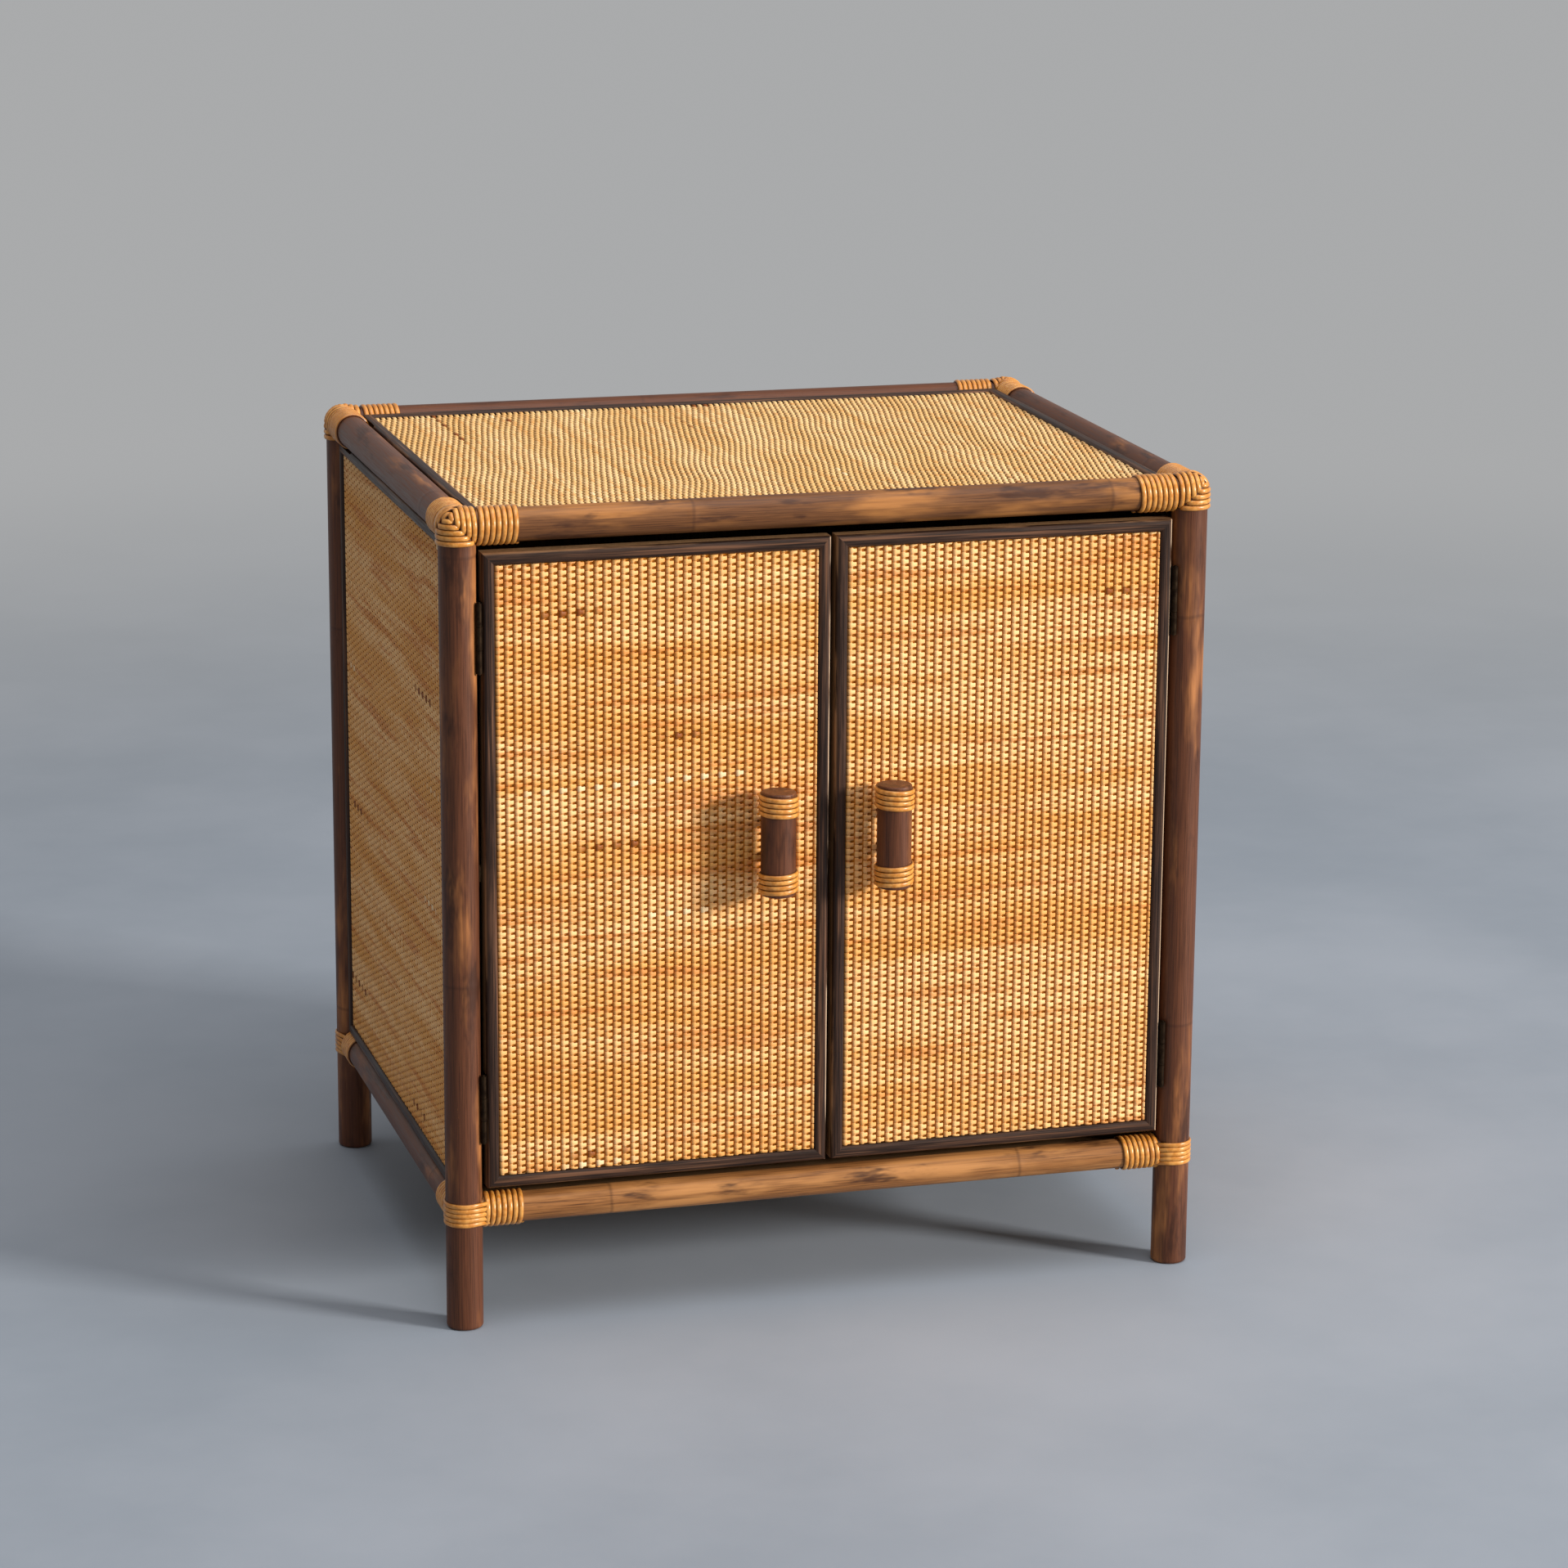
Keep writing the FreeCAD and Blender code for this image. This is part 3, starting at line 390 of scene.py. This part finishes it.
board_finish("upright_boards", 2, PLY_LIGHT, PLY_DARK).dress(
    "left_side_board", "right_side_board", "back_board", "left_door_board", "right_door_board")
board_finish("level_boards", 0, PLY_LIGHT, PLY_DARK).dress("top_board", "bottom_board", "shelf")
board_finish("cleats", 1, PLY_LIGHT, PLY_DARK).dress("shelf_cleats")
board_finish("dowels", 1, DOWEL_LIGHT, DOWEL_DARK).dress(
    "rail_dowels", "left_door_handle_pegs", "right_door_handle_pegs")
metal_finish("hinge_metal", HINGE_BRIGHT, HINGE_DULL, 0.55).dress(
    "post_hinge_leaves", "hinge_pins", "left_door_hinge_leaves", "right_door_hinge_leaves")
metal_finish("catch_metal", STEEL_BRIGHT, STEEL_DULL, 0.32).dress(
    "catch_magnets", "left_door_strike_plate", "right_door_strike_plate")


# Pieces made of cane strands

def finished(bm, name, finish, body, slot, *hidden):
    """Turns a bmesh into a piece of the object that stands for the hidden nodes."""
    bmesh.ops.recalc_face_normals(bm, faces=bm.faces)
    mesh = bpy.data.meshes.new(name)
    bm.to_mesh(mesh)
    bm.free()
    mesh.shade_smooth()
    mesh.materials.append(finish.material)
    piece = bpy.data.objects.new(name, mesh)
    bpy.context.collection.objects.link(piece)
    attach(piece, body)
    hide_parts(*hidden)


def cane_bmesh():
    """An empty bmesh whose points keep their strand's tone and their height on its section, which
    sets the painted shade on the flanks.
    """
    bm = bmesh.new()
    bm.verts.layers.float.new("strand")
    bm.verts.layers.float.new("crown")
    return bm


def tinted(bm, verts, tone):
    layer = bm.verts.layers.float["strand"]
    for v in verts:
        v[layer] = tone


def extended(bm, end, step):
    """Extrudes a strand's end face by a step and returns the new end."""
    grown = bmesh.ops.extrude_face_region(bm, geom=[*end.verts, *end.edges, end])["geom"]
    end = [g for g in grown if isinstance(g, bmesh.types.BMFace)][0]
    bmesh.ops.translate(bm, verts=end.verts, vec=step)
    return end


# Woven mats: flat strands that go over and under round stakes, neighbours a stake apart

class Cloth:
    """Sizes of a plain weave; the profile gives a strand's place in stakes, its height and
    its width over two stakes, and wave is how far the strands bend aside."""

    def __init__(self, stake_pitch, strand_pitch, stake_d, strand_t, stake_at, profile, wave,
                 tones=CANE_TONES):
        self.stake_pitch = stake_pitch
        self.strand_pitch = strand_pitch
        self.stake_d = stake_d
        self.strand_t = strand_t
        self.stake_at = stake_at
        self.profile = profile
        self.wave = wave
        self.tones = tones
        self.thick = stake_d + 2 * strand_t

    def level(self, height):
        return self.strand_t / 2 + height * (self.thick - self.strand_t)


class Facing:
    """The axis that a direction runs along, and its sign."""

    def __init__(self, way):
        self.index = max(range(3), key=lambda i: abs(way[i]))
        self.sign = 1 if way[self.index] > 0 else -1


LEANING = [(0.03, 0.22, 2.06), (0.11, 0.88, 2.08), (0.45, 1.0, 2.08), (0.50, 0.98, 1.34),
           (0.86, 0.84, 1.30), (0.94, 0.24, 1.2), (1.6, 0.0, 0.85)]
LEANING_LIGHT = [LEANING[i] for i in (0, 1, 2, 4, 5)]
EVEN = [(0.0, 0.40, 1.0), (0.16, 0.88, 1.38), (0.5, 1.0, 1.42), (0.84, 0.88, 1.38),
        (1.0, 0.40, 1.0), (1.25, 0.0, 0.85), (1.75, 0.0, 0.85)]
UPRIGHT_SIZES = dict(stake_pitch=6.44 * MM, strand_pitch=2.45 * MM, stake_d=1.3 * MM,
                     strand_t=0.6 * MM, stake_at=0.32)
DOOR_CLOTH = Cloth(**UPRIGHT_SIZES, profile=LEANING, wave=0.5 * MM)
PANEL_CLOTH = Cloth(**UPRIGHT_SIZES, profile=LEANING_LIGHT, wave=0.8 * MM)
TOP_CLOTH = Cloth(stake_pitch=9.8 * MM, strand_pitch=2.25 * MM, stake_d=1.5 * MM,
                  strand_t=0.6 * MM, stake_at=0.5, profile=EVEN, wave=2.6 * MM, tones=TOP_LIT_TONES)
STRAND_SECTION = [(-0.5, -0.5), (-0.38, 0.5), (0.38, 0.5), (0.5, -0.5)]
STAKE_SIDES = 8
ROW_SHIFT = 0.03
ROW_WIDTHS = (0.95, 1.02)
WAVES_PER_METRE = 13
EDGE_HOLD = 6


def strand_line(cloth, length, phase):
    """A strand along X, over one stake and under the next."""
    stations = []
    for pair in range(-1, math.ceil(length / cloth.stake_pitch / 2) + 1):
        for place, height, width in cloth.profile:
            x = (2 * pair + place + phase) * cloth.stake_pitch
            if 0 < x < length:
                stations.append((x, cloth.level(height), width * cloth.strand_pitch))
    stations.append((length, *stations[-1][1:]))
    x, (height, width) = 0.0, stations[0][1:]
    bm = cane_bmesh()
    end = bm.faces.new([bm.verts.new((-length / 2, y * width, height + z * cloth.strand_t))
                        for y, z in STRAND_SECTION])
    for next_x, next_height, next_width in stations:
        end = extended(bm, end, (next_x - x, 0, next_height - height))
        bmesh.ops.scale(bm, verts=end.verts, vec=(1, next_width / width, 1))
        x, height, width = next_x, next_height, next_width
    return bm


def stake_line(cloth, width):
    """A round stake along Y."""
    bm = cane_bmesh()
    start = Matrix.Translation((0, width / 2, cloth.thick / 2))
    bmesh.ops.create_circle(bm, cap_ends=True, segments=STAKE_SIDES, radius=cloth.stake_d / 2,
                            matrix=start @ Matrix.Rotation(math.pi / 2, 4, "X"))
    extended(bm, bm.faces[:][0], (0, -width, 0))
    return bm


def clipped(strand, width):
    """Cuts a strand off at the mat's edges along X and closes the cut."""
    for side in (-1, 1):
        parts = strand.verts[:] + strand.edges[:] + strand.faces[:]
        cut = bmesh.ops.bisect_plane(strand, geom=parts, plane_co=(0, side * width / 2, 0),
                                     plane_no=(0, side, 0), clear_outer=True)["geom_cut"]
        edges = [g for g in cut if isinstance(g, bmesh.types.BMEdge)]
        bmesh.ops.holes_fill(strand, edges=edges)


def wander(bm, width, wave, seed):
    """Bends the strands of a weave a little, less towards its edges."""
    for v in bm.verts:
        x, y, _ = v.co
        free = 1 - abs(2 * y / width) ** EDGE_HOLD
        spot = Vector((x * WAVES_PER_METRE, y * WAVES_PER_METRE, seed))
        v.co.y += wave * free * noise.noise(spot)


def woven_mat(panel, body, along, across, cloth, pieces, seed, skew):
    """A plain weave in place of a panel's mat, strands along one direction, stakes across."""
    name, node = f"{panel}_weave", f"{panel}_mat"
    rng = random.Random(seed)
    lo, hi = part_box(node)
    out = along.cross(across)
    length, width, depth = (abs((hi - lo).dot(d)) for d in (along, across, out))
    lines = [strand_line(cloth, length, phase) for phase in (0, 1)]
    rods = stake_line(cloth, width)
    scratch = bpy.data.meshes.new("scratch")
    parts = [cane_bmesh() for _ in range(pieces)]
    lean = abs(skew) * length / 2
    half_rows = math.ceil((width / 2 + lean) / cloth.strand_pitch)
    for row in range(-half_rows, half_rows + 1):
        strand = lines[row % 2].copy()
        at = (row + rng.uniform(-ROW_SHIFT, ROW_SHIFT)) * cloth.strand_pitch
        slant = Matrix.Translation((0, at, 0))
        slant[1][0] = skew
        slant[1][1] = rng.uniform(*ROW_WIDTHS)
        bmesh.ops.transform(strand, verts=strand.verts, matrix=slant)
        if abs(at) + lean + cloth.strand_pitch > width / 2:
            clipped(strand, width)
        tinted(strand, strand.verts, rng.random())
        strand.to_mesh(scratch)
        strand.free()
        parts[(row + half_rows) * pieces // (2 * half_rows + 1)].from_mesh(scratch)
    for stake in range(int(length / cloth.stake_pitch)):
        rod = rods.copy()
        at = (stake + cloth.stake_at) * cloth.stake_pitch - length / 2
        bmesh.ops.translate(rod, verts=rod.verts, vec=(at, 0, 0))
        tinted(rod, rod.verts, rng.random())
        rod.to_mesh(scratch)
        rod.free()
        parts[0].from_mesh(scratch)
    facing = Facing(out)
    base = (lo + hi) / 2 - out * depth / 2
    finish = weave_finish(name, Facing(along).index, Facing(across).index, facing,
                          base[facing.index], cloth.thick, *cloth.tones)
    placing = Matrix((along, across, out)).transposed().to_4x4()
    placing.translation = base
    for number, bm in enumerate(parts):
        wander(bm, width, cloth.wave, seed)
        bmesh.ops.transform(bm, verts=bm.verts, matrix=placing)
        label = f"{name}_{number + 1}" if pieces > 1 else name
        finished(bm, label, finish, body, "woven_cane", node)
    for pattern in (*lines, rods):
        pattern.free()
    bpy.data.meshes.remove(scratch)


woven_mat("left_door", "left_door", X, Z, DOOR_CLOTH, pieces=1, seed=11, skew=0.038)
woven_mat("right_door", "right_door", X, Z, DOOR_CLOTH, pieces=1, seed=12, skew=0.0)
woven_mat("left_side", "cabinet", -Y, Z, PANEL_CLOTH, pieces=2, seed=21, skew=0.01)
woven_mat("right_side", "cabinet", Y, Z, PANEL_CLOTH, pieces=2, seed=22, skew=0.01)
woven_mat("back", "cabinet", -X, Z, PANEL_CLOTH, pieces=2, seed=31, skew=0.01)
woven_mat("top", "cabinet", Y, -X, TOP_CLOTH, pieces=2, seed=41, skew=0.0)


# Bindings: half-round cane bent round the poles, in the corner's own axes, which point outwards
# and start where the poles' axes meet

CANE_W = 4.0 * MM
CANE_T = 1.9 * MM
CANE_SECTION = [(-0.5, 0), (-0.49, 0.38), (-0.36, 0.78), (-0.14, 0.98),
                (0.14, 0.98), (0.36, 0.78), (0.49, 0.38), (0.5, 0)]
SEAT = 0.1 * MM
TURN_STEPS = 28
TUCK = 1.4 * MM
TUCK_REACH = 3.0 * MM
MITRE_LAP = 0.6 * MM
CAP_LEVEL = 3
CAP_LEANING = 2
BAND_STRANDS = 5
BAND_W = 3.5 * MM
BAND_T = 1.4 * MM
BAND_RUN = 13.0 * MM
# How dark the painted shade on the band strands' flanks gets
BAND_GROOVE_SHADE = 0.62
COIL_FILL = 0.99
COIL_LAP = 1.25 * MM
HANDLE_COIL = 19.0 * MM
HANDLE_TIP = 0.5 * MM
binding = binding_finish()


def bent_cane(bm, axis, offset, radius, start, angle, tone, tilt=0.0, rise=0.0,
              width=CANE_W, thick=CANE_T, groove_shade=1.0):
    """Cane bent round an axis at an offset along it: rise makes it a helix, tilt leans it
    outwards, and the last argument sets how dark the painted shade on its flanks gets."""
    e, b, d = AXES[axis], AXES[(axis + 1) % 3], AXES[(axis + 2) % 3]
    side = b * math.cos(start) + d * math.sin(start)
    normal = side * math.cos(tilt) + e * math.sin(tilt)
    flank = e * math.cos(tilt) - side * math.sin(tilt)
    foot = side * radius + e * offset
    before = len(bm.verts)
    corners = [bm.verts.new(foot + flank * (x * width) + normal * (z * thick))
               for x, z in CANE_SECTION]
    crown = bm.verts.layers.float["crown"]
    for v, (_, z) in zip(corners, CANE_SECTION):
        v[crown] = 1 - groove_shade * (1 - z)
    first = bm.faces.new(corners)
    steps = max(4, round(abs(angle) / TURN * TURN_STEPS))
    swept = bmesh.ops.spin(bm, geom=[*corners, *first.edges, first], cent=(0, 0, 0), axis=e,
                           angle=angle, steps=steps, dvec=e * (rise * angle / TURN / steps))
    last = [g for g in swept["geom_last"] if isinstance(g, bmesh.types.BMFace)][0]
    bm.verts.ensure_lookup_table()
    fresh = bm.verts[before:]
    tinted(bm, fresh, tone)
    return fresh, first, last


def tuck_ends(verts, axis, start, angle, radius):
    """Sinks both ends of a bent strand, where the next strand covers them."""
    b, d = AXES[(axis + 1) % 3], AXES[(axis + 2) % 3]
    for v in verts:
        turned = (math.atan2(v.co.dot(d), v.co.dot(b)) - start) % TURN
        if turned > (angle + TURN) / 2:
            turned -= TURN
        left = min(turned, angle - turned) * radius
        sink = TUCK * max(0.0, 1 - left / TUCK_REACH) ** 2
        v.co -= (b * v.co.dot(b) + d * v.co.dot(d)).normalized() * sink


def corner_strand(bm, axis, offset, radius, tilt, tone):
    """A strand of one family, from the mitre with the next family to the mitre with the last."""
    low = math.asin(max(-1.0, min(1.0, offset / radius)))
    spare = MITRE_LAP / radius
    start, angle = low - spare, math.pi / 2 - 2 * low + 2 * spare
    fresh, _, _ = bent_cane(bm, axis, offset, radius, start, angle, tone, tilt)
    tuck_ends(fresh, axis, start, angle, radius)


def corner_cap(bm, post_r, rail_r, rng):
    """Three families of strands over a post's head, level on the poles and then leaning."""
    ball = post_r + SEAT
    for axis in range(3):
        for k in range(CAP_LEVEL):
            past = k * CANE_W
            hug = post_r if axis == 2 else max(rail_r, math.sqrt(post_r ** 2 - past ** 2))
            corner_strand(bm, axis, -past - CANE_W / 2, hug + SEAT, 0.0, rng.random())
        for k in range(CAP_LEANING):
            tilt = (k + 0.5) * CANE_W / (ball + CANE_T / 2)
            offset, radius = ball * math.sin(tilt), ball * math.cos(tilt)
            corner_strand(bm, axis, offset, radius, tilt, rng.random())


def band_strand(bm, height, radius, rail_r, tone):
    """A strand of the band round a post, straight on at both ends to the rails' windings."""
    seat = math.sqrt(rail_r ** 2 - height ** 2)
    lean = math.acos(seat / math.hypot(radius, BAND_RUN)) - math.atan2(BAND_RUN, radius)
    start, angle = -lean, math.pi / 2 + 2 * lean
    _, first, last = bent_cane(bm, 2, height, radius, start, angle, tone,
                               width=BAND_W, thick=BAND_T, groove_shade=BAND_GROOVE_SHADE)
    for end, turn, way in ((first, start, -BAND_RUN), (last, start + angle, BAND_RUN)):
        extended(bm, end, Vector((-math.sin(turn), math.cos(turn), 0)) * way)


def post_band(bm, post_r, rail_r, rng):
    """Level strands side by side round the outer side of a post."""
    for k in range(BAND_STRANDS):
        height = (k - (BAND_STRANDS - 1) / 2) * BAND_W
        band_strand(bm, height, post_r + SEAT, rail_r, rng.random())


def coil(bm, axis, first, last, radius, start, tone):
    """Whole turns of cane on a pole between two places along it."""
    span = last - first
    turns = round(abs(span) / CANE_W) - 1
    pitch = abs(span) / (turns + 1)
    way = math.copysign(pitch, span)
    bent_cane(bm, axis, first + way / 2, radius + SEAT, start, TURN * turns, tone,
              rise=way, width=pitch * COIL_FILL)


def bound_corner(level, ns, ew):
    """A corner's strands over the post, and the windings of both rails that meet there."""
    node = f"{level}_corner_binding_{ns}_{ew}"
    lo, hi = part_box(node)
    post_lo, post_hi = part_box(f"post_{ns}_{ew}")
    rail_lo, rail_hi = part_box(f"{level}_rail_{ns}")
    centre = (post_lo + post_hi) / 2
    centre.z = (rail_lo.z + rail_hi.z) / 2
    post_r = (post_hi.x - post_lo.x) / 2
    rail_r = (rail_hi.z - rail_lo.z) / 2
    reach = [hi[i] - centre[i] if side in ("left", "front") else centre[i] - lo[i]
             for i, side in enumerate((ew, ns))]
    rng = random.Random(node)
    bm = cane_bmesh()
    over_post = corner_cap if level == "top" else post_band
    over_post(bm, post_r, rail_r, rng)
    for axis in (0, 1):
        coil(bm, axis, COIL_LAP - post_r, -reach[axis], rail_r, -math.pi / 2, rng.random())
    outward = Matrix.Diagonal((-1 if ew == "left" else 1, -1 if ns == "front" else 1, 1, 1))
    bmesh.ops.transform(bm, verts=bm.verts, matrix=Matrix.Translation(centre) @ outward)
    finished(bm, f"{level}_cane_{ns}_{ew}", binding, "cabinet", "binding_cane", node)


def bound_handle(side):
    """The windings at both ends of a door's handle."""
    lo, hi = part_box(f"{side}_door_handle")
    grip_r = (hi.x - lo.x) / 2
    tip = (hi.z - lo.z) / 2 - HANDLE_TIP
    bm = cane_bmesh()
    for up, tone in ((-1, 0.1), (1, 0.5)):
        coil(bm, 2, up * tip, up * (tip - HANDLE_COIL), grip_r, math.pi / 2, tone)
    bmesh.ops.transform(bm, verts=bm.verts, matrix=Matrix.Translation((lo + hi) / 2))
    finished(bm, f"{side}_handle_cane", binding, f"{side}_door", "binding_cane",
             f"{side}_door_handle_bindings")


for level in ("top", "bottom"):
    for ns in ENDS:
        for ew in SIDES:
            bound_corner(level, ns, ew)
for side in SIDES:
    bound_handle(side)


# Stage: pale floor, window light from the right, weak light overhead, the photograph's viewpoint

FLOOR_DARK = (0.27, 0.315, 0.38)
FLOOR_LIGHT = (0.34, 0.385, 0.455)
FLOOR_HALF = 30
FADE_FROM, FADE_TO = 1.0, 3.4
BACKDROP = (0.40, 0.405, 0.41, 1)
ROOM_LIGHT = (1.0, 0.96, 0.92, 1)
ROOM_STRENGTH = 0.27
LIT_POINT = Vector((0, 0, 0.3))
CAMERA_AT = Vector((-932.4, -3336.6, 1231.2)) * MM
YAW, PITCH, ROLL = 0.2787, 0.2523, 0.0068
SENSOR_MM = 36
LENS_MM = 108.32


def floor_finish():
    """Pale floor that fades into the even backdrop away from the object; the backdrop sheds
    no light."""
    f = Finish("pale_floor", roughness=0.7)
    cloud = f.noise([1.5, 1.5, 1.5], detail=6, rough=0.6)
    f.feed(base_color=f.mix(cloud.fit(0.3, 0.7), FLOOR_DARK, FLOOR_LIGHT))
    away = f.add("VectorMath", {"operation": "LENGTH"}, {0: f.place}, output="Value")
    backdrop = f.add("Emission", inputs={"Color": BACKDROP, "Strength": 1.0})
    ground = Wire(f, f.shader.outputs[0])
    fade = away.fit(FADE_FROM, FADE_TO) * f.seen()
    faded = f.add("MixShader", inputs={0: fade, 1: ground, 2: backdrop})
    f.join(faded, f.tree.nodes["Material Output"].inputs["Surface"])
    return f


def area_light(name, at, size, power, colour):
    """A square lamp that points at the object."""
    data = bpy.data.lights.new(name, "AREA")
    data.size = size
    data.energy = power
    data.color = colour
    lamp = bpy.data.objects.new(name, data)
    lamp.location = at
    lamp.rotation_euler = (LIT_POINT - Vector(at)).to_track_quat("-Z", "Y").to_euler()
    bpy.context.collection.objects.link(lamp)


bm = bmesh.new()
bmesh.ops.create_grid(bm, x_segments=4, y_segments=4, size=FLOOR_HALF)
floor_mesh = bpy.data.meshes.new("floor")
bm.to_mesh(floor_mesh)
bm.free()
floor_mesh.materials.append(floor_finish().material)
floor = bpy.data.objects.new("floor", floor_mesh)
bpy.context.collection.objects.link(floor)

area_light("window", at=(7.38, -5.80, 2.89), size=1.7, power=1190, colour=(1.0, 0.95, 0.88))
area_light("overhead", at=(0.3, -0.6, 3.2), size=2.6, power=56, colour=(1.0, 0.99, 0.98))
world = bpy.data.worlds.new("room")
world.use_nodes = True
room = Shading(world.node_tree)
light = room.add("Background", inputs={"Color": ROOM_LIGHT, "Strength": ROOM_STRENGTH})
shown = room.add("Background", inputs={"Color": BACKDROP, "Strength": 1.0})
mixed = room.add("MixShader", inputs={0: room.seen(), 1: light, 2: shown})
room.join(mixed, room.tree.nodes["World Output"].inputs["Surface"])
bpy.context.scene.world = world
bpy.context.scene.view_settings.view_transform = "Standard"

camera_data = bpy.data.cameras.new("camera")
camera_data.sensor_width = SENSOR_MM
camera_data.lens = LENS_MM
camera = bpy.data.objects.new("camera", camera_data)
gaze = Vector((math.sin(YAW) * math.cos(PITCH), math.cos(YAW) * math.cos(PITCH),
               -math.sin(PITCH)))
camera.location = CAMERA_AT
camera.rotation_euler = (gaze.to_track_quat("-Z", "Y") @ Quaternion(Z, ROLL)).to_euler()
bpy.context.collection.objects.link(camera)
bpy.context.scene.camera = camera

bpy.context.view_layer.update()
